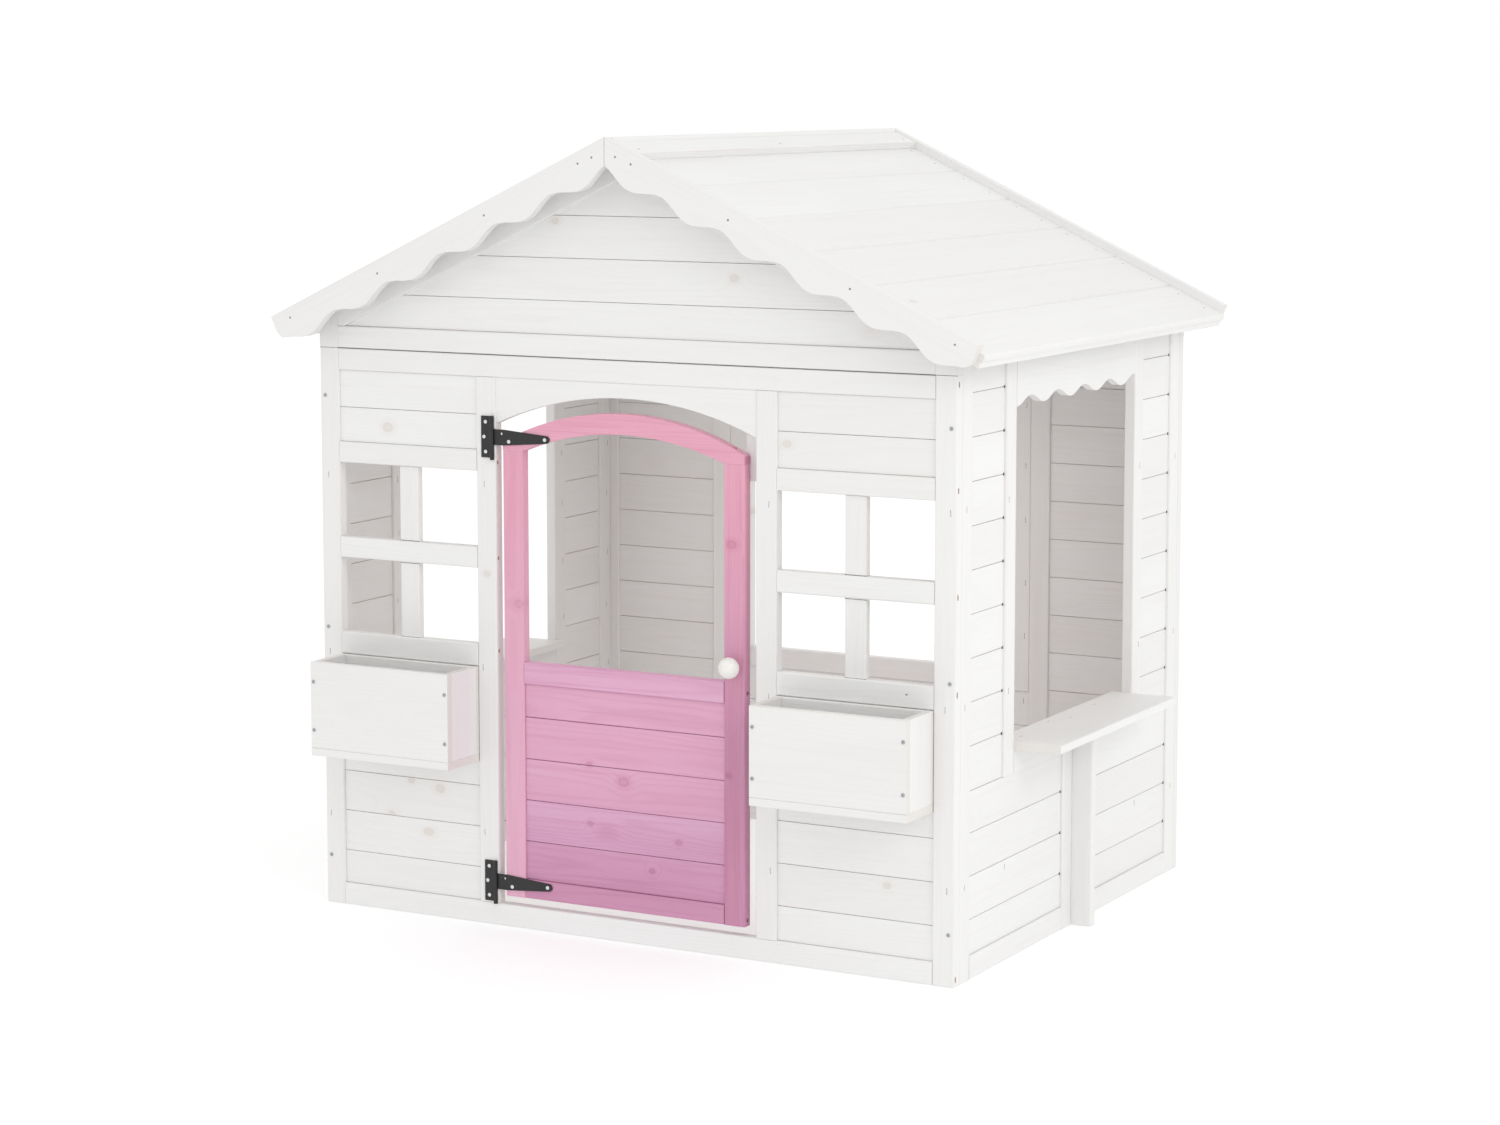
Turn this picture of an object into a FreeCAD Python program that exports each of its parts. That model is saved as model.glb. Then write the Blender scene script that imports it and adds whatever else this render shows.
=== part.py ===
import FreeCAD, Part
import math
import os
from FreeCAD import Vector

# Timber playhouse, millimetres. X runs along the front wall, Y from front to back, Z up.
# Everything is drawn with Y = 0 on the front wall's outer face and moved to the frame at export.

# walls
wall_width = 1200.0
wall_depth = 950.0
front_height = 966.0
stick = 38.0            # width of every frame batten
stick_depth = 20.0      # thickness of every frame batten
rail_height = 37.5
stick_round = 2.5       # rounding along every frame batten
joint_gap = 0.2         # a butt joint that shows as a hairline
half_width = wall_width / 2

# tongue-and-groove cladding
board_pitch = 70.0
first_seam = 95.0
board_thickness = 11.0
board_recess = 4.5
seam_gap = 0.8
tongue_height = 4.0
tongue_thickness = 3.6
groove_play = 0.4
thinnest_course = 12.0  # a seam nearer to a rail than this is left out
top_course = 20         # more courses than the tallest wall has
notch_length = 3.2      # a blind pocket at each seam's far end on the side walls
notch_height = 3.0
notch_depth = 9.0

# front windows and doorway
jamb_left = 316.0
jamb_right = 846.0
window_rails = {"sill": (440.0, 478.0), "mid": (606.5, 642.5), "head": (770.0, 806.0)}
muntin_recess = 4.0
muntin_depth = 14.0
header_spring = 852.0
header_crown = 904.0
header_recess = 2.0

# door leaf
door_left = 368.0
door_right = 826.0
door_bottom = 52.5
door_stile = 38.5
stile_top = 808.0
arch_end = 822.0
arch_crown = 878.5
arch_inner_crown = 844.5
door_bottom_rail_top = 85.0
door_mid_rail = (417.5, 454.0)
door_seams = (150.0, 220.0, 290.0, 361.0)
knob_height = 480.0
stop_depth = 15.0
stop_span = (780.0, 855.0)
stop_width = 28.0       # of the part that stands in the doorway
block_round = 5.0
stop_screw_inset = 18.0
counterbore_radius = 3.8
counterbore_depth = 3.0

# tee hinges
hinge_heights = (75.5, 829.0)
pin_x = 349.0
barrel_radius = 3.5
pin_radius = 1.75
running_play = 0.05
pin_grip = 0.02
leaf_thickness = 2.0
plate_left = 327.0
plate_height = 69.5
strap_tip = 460.0
strap_root_height = 26.4
strap_tip_height = 12.8
knuckle_play = 0.3
hinge_tail = 3.5        # the barrel runs below its plate
hinge_cap = 0.5         # and above it
strap_straight = 22.0
screw_radius = 1.9
screw_head_radius = 3.2
screw_head_round = 0.7
recess_length = 3.6
recess_width = 0.9
recess_depth = 0.9
hole_play = 0.3
short_screw = 16.0
stop_screw = 28.0
panel_screw = 30.0
knob_screw_length = 34.0
post_screw = 45.0
frame_screw = 56.0

# side walls
side_height = 1018.0
opening_start = 225.0
opening_end = 725.0
side_sill = 303.0
counter_bottom = 341.0
counter_thickness = 14.0
counter_reach = 82.0
counter_inside = 18.0   # past the frame's inner face
middle_post_width = 19.0
middle_post_reach = 36.0
valance_mean = 907.0
valance_swing = 7.5
valance_wave = 109.5
valance_thickness = 14.0

# rear wall
rear_opening_half = 268.0
rear_stile_outer = 351.0
rear_jamb_width = 45.0
rear_sill = 300.0
rear_head = 806.0

# roof
roof_pitch = 25.12
ridge_height = 1328.7
front_overhang = 55.5
rear_overhang = 55.5
barge_thickness = 18.0
barge_depth = 50.0
barge_swing = 8.5
barge_wave = 119.0
barge_first_lobe = 75.0
barge_length = 730.0
barge_joint_gap = 0.4
roof_board_top = -14.0
roof_board_thickness = 11.0
roof_board_pitch = 117.5
roof_board_bevel = 3.0
roof_slope_end = 740.0
roof_first_board = 12.5
roof_stick_inset = 30.0
cap_thickness = 12.0
cap_reach = 57.0
gable_batten_width = 36.0
gable_courses = 3
gable_first_course = 0.8    # of the board pitch

# planters
planter_inset = 38.5
planter_length = 277.0
planter_reach = 94.0
planter_bottom = 277.5
planter_floor = 13.5
planter_top = 439.0
panel = 12.0
panel_round = 1.5

screw_head_height = 1.2
front_y = -(wall_depth + rear_overhang - planter_reach - screw_head_height) / 2


def export(node, solids):
    """Moves a sub-part into the frame and writes it."""
    shape = solids[0] if len(solids) == 1 else Part.Compound(solids)
    shape = shape.copy()
    shape.translate(Vector(0, front_y, 0))
    shape.exportStep("parts/" + node + ".step")


def box(x0, x1, y0, y1, z0, z1):
    return Part.makeBox(x1 - x0, y1 - y0, z1 - z0, Vector(x0, y0, z0))


def on_front(x):
    """A distance from the front wall's left edge, as an X in the frame."""
    return x - half_width


def eased(solid, radius):
    """Rounds the edges that run along a stick or a panel."""
    longest = max(edge.Length for edge in solid.Edges)
    along = [edge for edge in solid.Edges if edge.Length > 0.7 * longest]
    return solid.makeFillet(radius, along)


def batten(u0, u1, z0, z1, depth=stick_depth, start=0.0):
    """A stick in a wall that is drawn flat: U along it, outer face at Y = 0."""
    return eased(box(u0, u1, start, start + depth, z0, z1), stick_round)


def mirrored(solids):
    return [s.mirror(Vector(0, 0, 0), Vector(1, 0, 0)) for s in solids]


def right_wall(solids):
    """Turns a wall drawn flat into the right-hand side wall."""
    turned = [s.copy() for s in solids]
    for s in turned:
        s.rotate(Vector(0, 0, 0), Vector(0, 0, 1), 90)
        s.translate(Vector(half_width, 0, 0))
    return turned


def rear_wall(solids):
    """Turns a wall drawn flat and centred into the rear wall."""
    turned = [s.copy() for s in solids]
    for s in turned:
        s.rotate(Vector(0, 0, 0), Vector(0, 0, 1), 180)
        s.translate(Vector(0, wall_depth, 0))
    return turned


def prism(points, along):
    wire = Part.makePolygon([Vector(*p) for p in points + points[:1]])
    return Part.Face(wire).extrude(Vector(*along))


def cladding_board(u0, u1, z0, z1, thickness, tongue=True, groove=True):
    """One board, lying along U, with its tongue up."""
    low = z0 + seam_gap / 2
    high = z1 - seam_gap / 2
    middle = thickness / 2
    tongue_half = tongue_thickness / 2
    groove_half = tongue_half + groove_play / 2
    section = [(thickness, low), (thickness, high)]
    if tongue:
        section += [(middle + tongue_half, high), (middle + tongue_half, high + tongue_height),
                    (middle - tongue_half, high + tongue_height), (middle - tongue_half, high)]
    section += [(0, high), (0, low)]
    if groove:
        roof = low + tongue_height - seam_gap + groove_play
        section += [(middle - groove_half, low), (middle - groove_half, roof),
                    (middle + groove_half, roof), (middle + groove_half, low)]
    return prism([(u0, y, z) for y, z in section], (u1 - u0, 0, 0))


def course_seams(z0, z1):
    """The heights of the cladding seams between two rails."""
    seams = [first_seam + board_pitch * k for k in range(top_course)]
    return [z for z in seams if z0 + thinnest_course < z < z1 - thinnest_course]


def boards_between(u0, u1, z0, z1, seams=None):
    """A stack of boards that fills a panel, set back from the frame's outer face."""
    levels = [z0] + list(course_seams(z0, z1) if seams is None else seams) + [z1]
    stack = []
    for k in range(len(levels) - 1):
        board = cladding_board(u0, u1, levels[k], levels[k + 1], board_thickness,
                               tongue=k < len(levels) - 2, groove=k > 0)
        board.translate(Vector(0, board_recess, 0))
        stack.append(board)
    return stack


def arc_through(x0, x1, z_end, z_crown, y):
    middle = Vector((x0 + x1) / 2, y, z_crown)
    return Part.Arc(Vector(x0, y, z_end), middle, Vector(x1, y, z_end)).toShape()


def wave_edge(start, end, point_at, steps_per_wave, wave):
    """A smooth curve through points of a wavy edge."""
    count = max(4, round((end - start) / wave * steps_per_wave))
    points = [point_at(start + (end - start) * k / count) for k in range(count + 1)]
    curve = Part.BSplineCurve()
    curve.interpolate(points)
    return curve.toShape(), points


def wood_screw(head_at, direction, length):
    """A pan-head screw with a cross recess, whose head sits on the surface at head_at."""
    shank = Part.makeCylinder(screw_radius, length)
    crown = Vector(0, 0, -screw_head_height)
    head = Part.makeCylinder(screw_head_radius, screw_head_height, crown)
    rim = [edge for edge in head.Edges if (edge.CenterOfMass - crown).Length < 0.1]
    screw = shank.fuse(head.makeFillet(screw_head_round, rim)).removeSplitter()
    long = recess_length / 2
    short = recess_width / 2
    low = -screw_head_height
    high = low + recess_depth
    cross = box(-long, long, -short, short, low, high).fuse(box(-short, short, -long, long, low, high))
    screw = screw.cut(cross).Solids[0]
    screw.Placement = FreeCAD.Placement(Vector(*head_at),
                                        FreeCAD.Rotation(Vector(0, 0, 1), Vector(*direction)))
    return screw


# ---- front wall

def front_posts():
    post = batten(-half_width, -half_width + stick, 0, front_height)
    return [post] + mirrored([post])


def front_rails():
    inner = half_width - stick
    return [batten(-inner, inner, 0, rail_height),
            batten(-inner, inner, front_height - rail_height, front_height)]


def front_jambs():
    top = front_height - rail_height
    return [batten(on_front(x), on_front(x + stick), rail_height, top)
            for x in (jamb_left, jamb_right)]


def door_header():
    """The board over the doorway, with an arched lower edge."""
    x0 = on_front(jamb_left + stick)
    x1 = on_front(jamb_right)
    y = header_recess
    top = front_height - rail_height
    sides = [Part.LineSegment(Vector(x0, y, header_spring), Vector(x0, y, top)).toShape(),
             Part.LineSegment(Vector(x0, y, top), Vector(x1, y, top)).toShape(),
             Part.LineSegment(Vector(x1, y, top), Vector(x1, y, header_spring)).toShape()]
    outline = Part.Wire(sides + [arc_through(x1, x0, header_spring, header_crown, y)])
    return [Part.Face(outline).extrude(Vector(0, stick_depth - header_recess, 0))]


def window_spans():
    """The two windows' left and right limits."""
    return [(on_front(stick), on_front(jamb_left)),
            (on_front(jamb_right + stick), on_front(wall_width - stick))]


def window_frame_rails():
    return [batten(u0, u1, z0, z1) for u0, u1 in window_spans()
            for z0, z1 in window_rails.values()]


def window_muntins():
    bars = []
    for u0, u1 in window_spans():
        centre = (u0 + u1) / 2
        for below, above in (("sill", "mid"), ("mid", "head")):
            bars.append(batten(centre - stick / 2, centre + stick / 2,
                               window_rails[below][1], window_rails[above][0],
                               muntin_depth, muntin_recess))
    return bars


def front_boards():
    boards = []
    for u0, u1 in window_spans():
        boards += boards_between(u0, u1, rail_height, window_rails["sill"][0])
        boards += boards_between(u0, u1, window_rails["head"][1], front_height - rail_height)
    return boards


def door_stop():
    """The block that the closed door rests against, behind the latch jamb."""
    x0 = on_front(jamb_right - stop_width)
    x1 = on_front(jamb_right + stick)
    block = box(x0, x1, stick_depth, stick_depth + stop_depth, *stop_span)
    corners = [edge for edge in block.Edges
               if edge.Length < stop_depth + 1 and edge.CenterOfMass.x < x0 + 1]
    return [block.makeFillet(block_round, corners)]


def stop_screws():
    x = on_front(jamb_right + stick / 2)
    y = stick_depth + stop_depth
    return [wood_screw((x, y, z), (0, -1, 0), stop_screw)
            for z in (stop_span[0] + stop_screw_inset, stop_span[1] - stop_screw_inset)]


# ---- side walls, drawn flat for the right wall: U is the distance behind the front wall's face

side_start = stick_depth
side_end = wall_depth - stick_depth
side_middle = wall_depth / 2


def side_frame():
    near_middle = side_middle - middle_post_width / 2
    far_middle = side_middle + middle_post_width / 2
    near = side_start + stick
    far = side_end - stick
    gap = joint_gap
    return [batten(side_start, near, 0, side_height),
            batten(far, side_end, 0, side_height),
            batten(near_middle - stick, near_middle, 0, side_sill - gap),
            batten(far_middle, far_middle + stick, 0, side_sill - gap),
            batten(near + gap, near_middle - stick - gap, 0, rail_height),
            batten(far_middle + stick + gap, far - gap, 0, rail_height),
            batten(opening_start, opening_end, side_sill, counter_bottom),
            batten(near + gap, far - gap, side_height - rail_height, side_height)]


def side_jambs():
    top = side_height - rail_height
    return [batten(opening_start - stick, opening_start, side_sill, top),
            batten(opening_end, opening_end + stick, side_sill, top)]


def side_boards():
    near_middle = side_middle - middle_post_width / 2
    far_middle = side_middle + middle_post_width / 2
    near = side_start + stick
    far = side_end - stick
    top = side_height - rail_height
    boards = []
    for u0, u1, z0, z1 in ((near, near_middle - stick, rail_height, side_sill),
                           (far_middle + stick, far, rail_height, side_sill),
                           (near, opening_start - stick, side_sill, top),
                           (opening_end + stick, far, side_sill, top)):
        stack = boards_between(u0, u1, z0, z1)
        for seam in course_seams(z0, z1):
            notch = box(u1 - notch_length, u1, board_recess, board_recess + notch_depth,
                        seam - notch_height / 2, seam + notch_height / 2)
            stack = [board.cut(notch).Solids[0] for board in stack]
        boards += stack
    return boards


def middle_post():
    """The post that stands out from the wall and carries the counter."""
    u0 = side_middle - middle_post_width / 2
    u1 = side_middle + middle_post_width / 2
    outer = box(u0, u1, -middle_post_reach, 0, 0, counter_bottom)
    inner = box(u0, u1, 0, stick_depth, 0, side_sill)
    return [eased(outer.fuse(inner).removeSplitter(), stick_round)]


def counter():
    return [batten(opening_start, opening_end, counter_bottom, counter_bottom + counter_thickness,
                   stick_depth + counter_inside + counter_reach, -counter_reach)]


def valance():
    """The scalloped board over the serving window."""
    def edge_point(u):
        return Vector(u, 0, valance_mean - valance_swing
                      * math.cos(2 * math.pi * (u - opening_start) / valance_wave))
    top = side_height - rail_height
    edge, points = wave_edge(opening_start, opening_end, edge_point, 8, valance_wave)
    corner_high = Vector(opening_end, 0, top)
    corner_low = Vector(opening_start, 0, top)
    lines = [Part.LineSegment(points[-1], corner_high).toShape(),
             Part.LineSegment(corner_high, corner_low).toShape(),
             Part.LineSegment(corner_low, points[0]).toShape()]
    return [Part.Face(Part.Wire([edge] + lines)).extrude(Vector(0, valance_thickness, 0))]


# ---- rear wall, drawn flat and centred

def rear_posts():
    post = batten(-half_width, -half_width + stick, 0, front_height)
    return [post] + mirrored([post])


def rear_frame():
    inner = half_width - stick
    top = front_height - rail_height
    stile = batten(rear_stile_outer - stick, rear_stile_outer, rail_height + joint_gap,
                   top - joint_gap)
    return [batten(-inner, inner, 0, rail_height), batten(-inner, inner, top, front_height),
            stile] + mirrored([stile])


def rear_window_frame():
    top = front_height - rail_height
    jamb = batten(rear_opening_half, rear_opening_half + rear_jamb_width, rear_sill, top)
    reach = rear_opening_half - joint_gap
    rails = [batten(-reach, reach, z, z + stick) for z in (rear_sill, rear_head)]
    return rails + [jamb] + mirrored([jamb])


def rear_boards():
    top = front_height - rail_height
    inner = rear_stile_outer - stick
    boards = boards_between(-inner, inner, rail_height, rear_sill)
    boards += boards_between(-rear_opening_half, rear_opening_half, rear_head + stick, top)
    outer = boards_between(rear_stile_outer, half_width - stick, rail_height, top)
    return boards + outer + mirrored(outer)


# ---- gables, drawn as the front one

slope = math.radians(roof_pitch)
roof_under = (roof_board_thickness - roof_board_top) / math.cos(slope)


def underside(x):
    """Height of the roof boards' underside over a distance from the ridge line."""
    return ridge_height - roof_under - abs(x) * math.tan(slope)


def gable_frame():
    inner = half_width - stick
    gap = joint_gap
    sill_top = front_height + rail_height
    drop = gable_batten_width / math.cos(slope)
    end_stile = prism([(-half_width, 0, front_height), (-inner, 0, front_height),
                       (-inner, 0, underside(inner)), (-half_width, 0, underside(half_width))],
                      (0, stick_depth, 0))
    foot = inner - gap
    base = sill_top + gap
    reach = (underside(gap) - drop - base) / math.tan(slope) + gap
    rafter = prism([(-foot, 0, base), (-reach, 0, base), (-gap, 0, underside(gap) - drop),
                    (-gap, 0, underside(gap)), (-foot, 0, underside(foot))], (0, stick_depth, 0))
    rafter = eased(rafter, stick_round)
    rail = batten(-foot, foot, front_height, sill_top)
    return [rail, end_stile, rafter] + mirrored([end_stile, rafter])


def gable_boards():
    sill_top = front_height + rail_height
    drop = gable_batten_width / math.cos(slope)
    apex = underside(0) - drop
    reach = (apex - sill_top) / math.tan(slope)
    seams = [sill_top + board_pitch * (k + gable_first_course) for k in range(gable_courses)]
    stack = boards_between(-reach, reach, sill_top, apex, seams)
    gable = prism([(-reach, 0, sill_top), (reach, 0, sill_top), (0, 0, apex)], (0, stick_depth, 0))
    return [board.common(gable).Solids[0] for board in stack]


# ---- roof, drawn flat: X down the slope from the ridge, Z square to it

def right_slope(solids):
    turned = [s.copy() for s in solids]
    for s in turned:
        s.rotate(Vector(0, 0, 0), Vector(0, 1, 0), roof_pitch)
        s.translate(Vector(0, 0, ridge_height))
    return turned


roof_front = barge_thickness - front_overhang
roof_rear = wall_depth + rear_overhang - barge_thickness


def roof_boards():
    """Boards along the house, each with a bevel on its upper edges."""
    top = roof_board_top
    bottom = top - roof_board_thickness
    seams = []
    seam = roof_slope_end
    while seam > roof_first_board + thinnest_course:
        seams.append(seam)
        seam -= roof_board_pitch
    seams.append(roof_first_board)
    boards = []
    for low, high in zip(seams[1:], seams[:-1]):
        start = low + seam_gap / 2
        end = high - seam_gap / 2
        bevel = roof_board_bevel
        section = [(start, bottom), (end, bottom), (end, top - bevel), (end - bevel, top),
                   (start + bevel, top), (start, top - bevel)]
        boards.append(prism([(s, roof_front, n) for s, n in section],
                            (0, roof_rear - roof_front, 0)))
    return boards


def roof_battens():
    """Sticks up the slope, under the boards and between the gables, and one along the eave."""
    top = roof_board_top - roof_board_thickness
    first = roof_stick_inset
    last = (half_width - stick_depth) / math.cos(slope) - roof_stick_inset
    sticks = [box(first, last, y - stick / 2, y + stick / 2, top - stick_depth, top)
              for y in (stick_depth + stick / 2, wall_depth / 2,
                        wall_depth - stick_depth - stick / 2)]
    eave = box(roof_slope_end - stick, roof_slope_end - roof_board_bevel, roof_front, roof_rear,
               top - panel, top)
    return sticks + [eave]


def ridge_caps():
    """Two boards over the ridge; the left one laps the right one's upper edge."""
    top = roof_board_top + cap_thickness
    lap = -top / math.tan(slope)
    left = box(-lap, cap_reach, roof_front, roof_rear, roof_board_top, top)
    face_foot = lap * math.cos(2 * slope) + (-roof_board_top) * math.sin(2 * slope)
    right = box(face_foot + joint_gap, cap_reach, roof_front, roof_rear, roof_board_top, top)
    return mirrored(right_slope([left])) + right_slope([right])


def bargeboard(y):
    """A scalloped board up the slope, cut upright at the ridge and rounded at its foot."""
    def edge_point(s):
        swing = barge_swing * math.cos(2 * math.pi * (s - barge_first_lobe) / barge_wave)
        return Vector(s, 0, -(barge_depth + swing))
    joint = barge_joint_gap / math.cos(slope)
    head = Vector(joint, 0, 0)
    throat_s = 20.0
    foot_s = barge_length - 18
    edge, points = wave_edge(throat_s, foot_s, edge_point, 8, barge_wave)
    throat = points[0]
    cut_foot = Vector(joint + abs(throat.z) * math.tan(slope), 0, throat.z)
    toe_start = Vector(barge_length, 0, -26)
    toe_middle = Vector(barge_length - 5.5, 0, -39)
    toe = Part.Arc(toe_start, toe_middle, points[-1]).toShape()
    edges = [Part.LineSegment(cut_foot, head).toShape(),
             Part.LineSegment(head, Vector(barge_length, 0, 0)).toShape(),
             Part.LineSegment(Vector(barge_length, 0, 0), toe_start).toShape(), toe, edge]
    if (cut_foot - throat).Length > 0.01:
        edges.append(Part.LineSegment(throat, cut_foot).toShape())
    board = Part.Face(Part.Wire(Part.__sortEdges__(edges))).extrude(Vector(0, barge_thickness, 0))
    board.translate(Vector(0, y, 0))
    return right_slope([board])


# ---- planters

def planter_places():
    return [on_front(planter_inset), on_front(wall_width - planter_inset - planter_length)]


planter_back = board_recess
planter_side_bottom = planter_bottom + planter_floor


def planter_fronts():
    return [eased(box(x, x + planter_length, -planter_reach, panel - planter_reach,
                      planter_side_bottom, planter_top), panel_round) for x in planter_places()]


def planter_backs():
    return [eased(box(x, x + planter_length, planter_back - panel, planter_back,
                      planter_side_bottom, planter_top), panel_round) for x in planter_places()]


def planter_ends():
    return [box(x + shift, x + shift + panel, panel - planter_reach, planter_back - panel,
                planter_side_bottom, planter_top)
            for x in planter_places() for shift in (0, planter_length - panel)]


def planter_floors():
    return [eased(box(x, x + planter_length, -planter_reach, planter_back,
                      planter_bottom, planter_side_bottom), panel_round) for x in planter_places()]


# ---- door leaf

door_face = 0.0
door_thickness = 19.5


def door_stick(x0, x1, z0, z1):
    return box(on_front(x0), on_front(x1), door_face, door_face + door_thickness, z0, z1)


def frame_screws_at():
    """Where each screw enters the door's frame, and which way it goes in."""
    centre_y = door_face + door_thickness / 2
    places = []
    for z in (door_bottom + 9.5, sum(door_mid_rail) / 2):
        places.append(((on_front(door_left), centre_y, z), (1, 0, 0)))
        places.append(((on_front(door_right), centre_y, z), (-1, 0, 0)))
    for x in (door_left + 23, door_right - 23):
        places.append(((on_front(x), centre_y, arch_end + 5), (0, 0, -1)))
    return places


def counterbored(solid):
    """Cuts the pockets that hide the frame screws' heads."""
    for at, way in frame_screws_at():
        start = Vector(*at) - Vector(*way) * 10
        pocket = Part.makeCylinder(counterbore_radius, 10 + counterbore_depth, start, Vector(*way))
        solid = solid.cut(pocket)
    return solid.Solids[0]


def door_frame_screws():
    sunk = counterbore_depth
    return [wood_screw(Vector(*at) + Vector(*way) * sunk, way, frame_screw)
            for at, way in frame_screws_at()]


def door_stiles():
    return [counterbored(eased(door_stick(x, x + door_stile, door_bottom, stile_top), stick_round))
            for x in (door_left, door_right - door_stile)]


def door_rail(z0, z1):
    stick_between = door_stick(door_left + door_stile, door_right - door_stile, z0, z1)
    return [eased(stick_between, stick_round)]


def door_arch():
    """The curved top rail, which stands on both stiles."""
    x0 = on_front(door_left)
    x1 = on_front(door_right)
    inner0 = x0 + door_stile
    inner1 = x1 - door_stile
    y = door_face
    base = stile_top
    lines = [((x0, base), (x0, arch_end)), ((x1, arch_end), (x1, base)), ((x1, base), (inner1, base)),
             ((inner0, base), (x0, base))]
    edges = [Part.LineSegment(Vector(a[0], y, a[1]), Vector(b[0], y, b[1])).toShape()
             for a, b in lines]
    edges += [arc_through(x0, x1, arch_end, arch_crown, y),
              arc_through(inner0, inner1, base, arch_inner_crown, y)]
    outline = Part.Wire(Part.__sortEdges__(edges))
    rail = Part.Face(outline).extrude(Vector(0, door_thickness, 0))
    shoulders = [edge for edge in rail.Edges
                 if abs(edge.CenterOfMass.z - arch_end) < 0.1 and edge.Length < door_thickness + 1]
    return [counterbored(rail.makeFillet(block_round, shoulders))]


def door_boards():
    boards = boards_between(on_front(door_left + door_stile), on_front(door_right - door_stile),
                            door_bottom_rail_top, door_mid_rail[0], door_seams)
    for board in boards:
        board.translate(Vector(0, door_face, 0))
    return boards


knob_x = door_right - door_stile / 2


def door_knob():
    """A turned knob on a short neck, its axis square to the door."""
    ball = 17.5
    flatness = 0.88
    reach = 34.0
    neck = 9.0
    centre = reach - ball * flatness
    body = Part.makeSphere(ball)
    squash = FreeCAD.Matrix()
    squash.scale(1, 1, flatness)
    body = body.transformGeometry(squash)
    body.translate(Vector(0, 0, centre))
    stem = Part.makeCylinder(neck, centre)
    knob = body.fuse(stem).common(Part.makeCylinder(2 * ball, reach + 1))
    knob.rotate(Vector(0, 0, 0), Vector(1, 0, 0), 90)
    knob.translate(Vector(on_front(knob_x), door_face, knob_height))
    return knob.Solids


def knob_screw():
    behind = door_face + door_thickness
    return [wood_screw((on_front(knob_x), behind, knob_height), (0, -1, 0), knob_screw_length)]


# ---- tee hinges

pin_y = -barrel_radius


def hinge_bore(z0, z1, play):
    return Part.makeCylinder(pin_radius + play, z1 - z0, Vector(on_front(pin_x), pin_y, z0))


def hinge_knuckle(z0, z1):
    return Part.makeCylinder(barrel_radius, z1 - z0, Vector(on_front(pin_x), pin_y, z0))


def screw_hole(x, z):
    return Part.makeCylinder(screw_radius + hole_play, 3 * leaf_thickness,
                             Vector(on_front(x), -2 * leaf_thickness, z), Vector(0, 1, 0))


plate_screws_at = ((336.0, 25.0), (333.0, 0.0), (336.0, -25.0))
strap_screws_at = ((381.5, -6.3), (451.5, 0.0))
strap_spare_hole = (366.5, 6.2)


def hinge_plates():
    """The leaf on the jamb, with a knuckle above and below the strap's."""
    plates = []
    gap = strap_root_height / 2 + knuckle_play
    for z in hinge_heights:
        low = z - plate_height / 2
        high = z + plate_height / 2
        plate = box(on_front(plate_left), on_front(pin_x), -leaf_thickness, 0, low, high)
        window = box(on_front(pin_x - barrel_radius - 0.5), on_front(pin_x + 1), -leaf_thickness, 0,
                     z - gap, z + gap)
        plate = plate.cut(window).fuse(hinge_knuckle(low - hinge_tail, z - gap))
        plate = plate.fuse(hinge_knuckle(z + gap, high + hinge_cap)).removeSplitter()
        plate = plate.cut(hinge_bore(low - hinge_tail, high + hinge_cap, pin_grip))
        for x, dz in plate_screws_at:
            plate = plate.cut(screw_hole(x, z + dz))
        plates.append(plate)
    return plates


def hinge_pins():
    below = plate_height / 2 + hinge_tail
    above = plate_height / 2 + hinge_cap
    return [hinge_bore(z - below, z + above, 0) for z in hinge_heights]


def hinge_straps():
    """The tapered leaf on the door, rounded at its tip."""
    straps = []
    x0 = on_front(pin_x)
    root = strap_root_height / 2
    tip = strap_tip_height / 2
    taper_start = x0 + strap_straight
    tip_centre = on_front(strap_tip) - tip
    for z in hinge_heights:
        lines = [((x0, z + root), (taper_start, z + root)),
                 ((taper_start, z + root), (tip_centre, z + tip)),
                 ((tip_centre, z - tip), (taper_start, z - root)),
                 ((taper_start, z - root), (x0, z - root)), ((x0, z - root), (x0, z + root))]
        edges = [Part.LineSegment(Vector(a[0], -leaf_thickness, a[1]),
                                  Vector(b[0], -leaf_thickness, b[1])).toShape() for a, b in lines]
        edges.append(Part.Arc(Vector(tip_centre, -leaf_thickness, z + tip),
                              Vector(tip_centre + tip, -leaf_thickness, z),
                              Vector(tip_centre, -leaf_thickness, z - tip)).toShape())
        leaf = Part.Face(Part.Wire(Part.__sortEdges__(edges))).extrude(Vector(0, leaf_thickness, 0))
        strap = leaf.fuse(hinge_knuckle(z - root, z + root)).removeSplitter()
        strap = strap.cut(hinge_bore(z - root, z + root, running_play))
        for x, dz in strap_screws_at + (strap_spare_hole,):
            strap = strap.cut(screw_hole(x, z + dz))
        straps.append(strap)
    return straps


def leaf_screws(places):
    return [wood_screw((on_front(x), -leaf_thickness, z + dz), (0, 1, 0), short_screw)
            for z in hinge_heights for x, dz in places]


# ---- fasteners

def wall_screws():
    """Screws through the corner posts into the side walls' end stiles."""
    inset = 10.0
    screws = []
    for x in (-half_width + inset, half_width - inset):
        for z in (84.0, 484.0, 884.0):
            screws.append(wood_screw((x, 0, z), (0, 1, 0), post_screw))
            screws.append(wood_screw((x, wall_depth, z), (0, -1, 0), post_screw))
    return screws


def planter_screws():
    inset = panel / 2
    return [wood_screw((x + shift, -planter_reach, z), (0, 1, 0), panel_screw)
            for x in planter_places() for shift in (inset, planter_length - inset)
            for z in (planter_side_bottom + 31, planter_top - 34)]


os.makedirs("parts", exist_ok=True)

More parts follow.
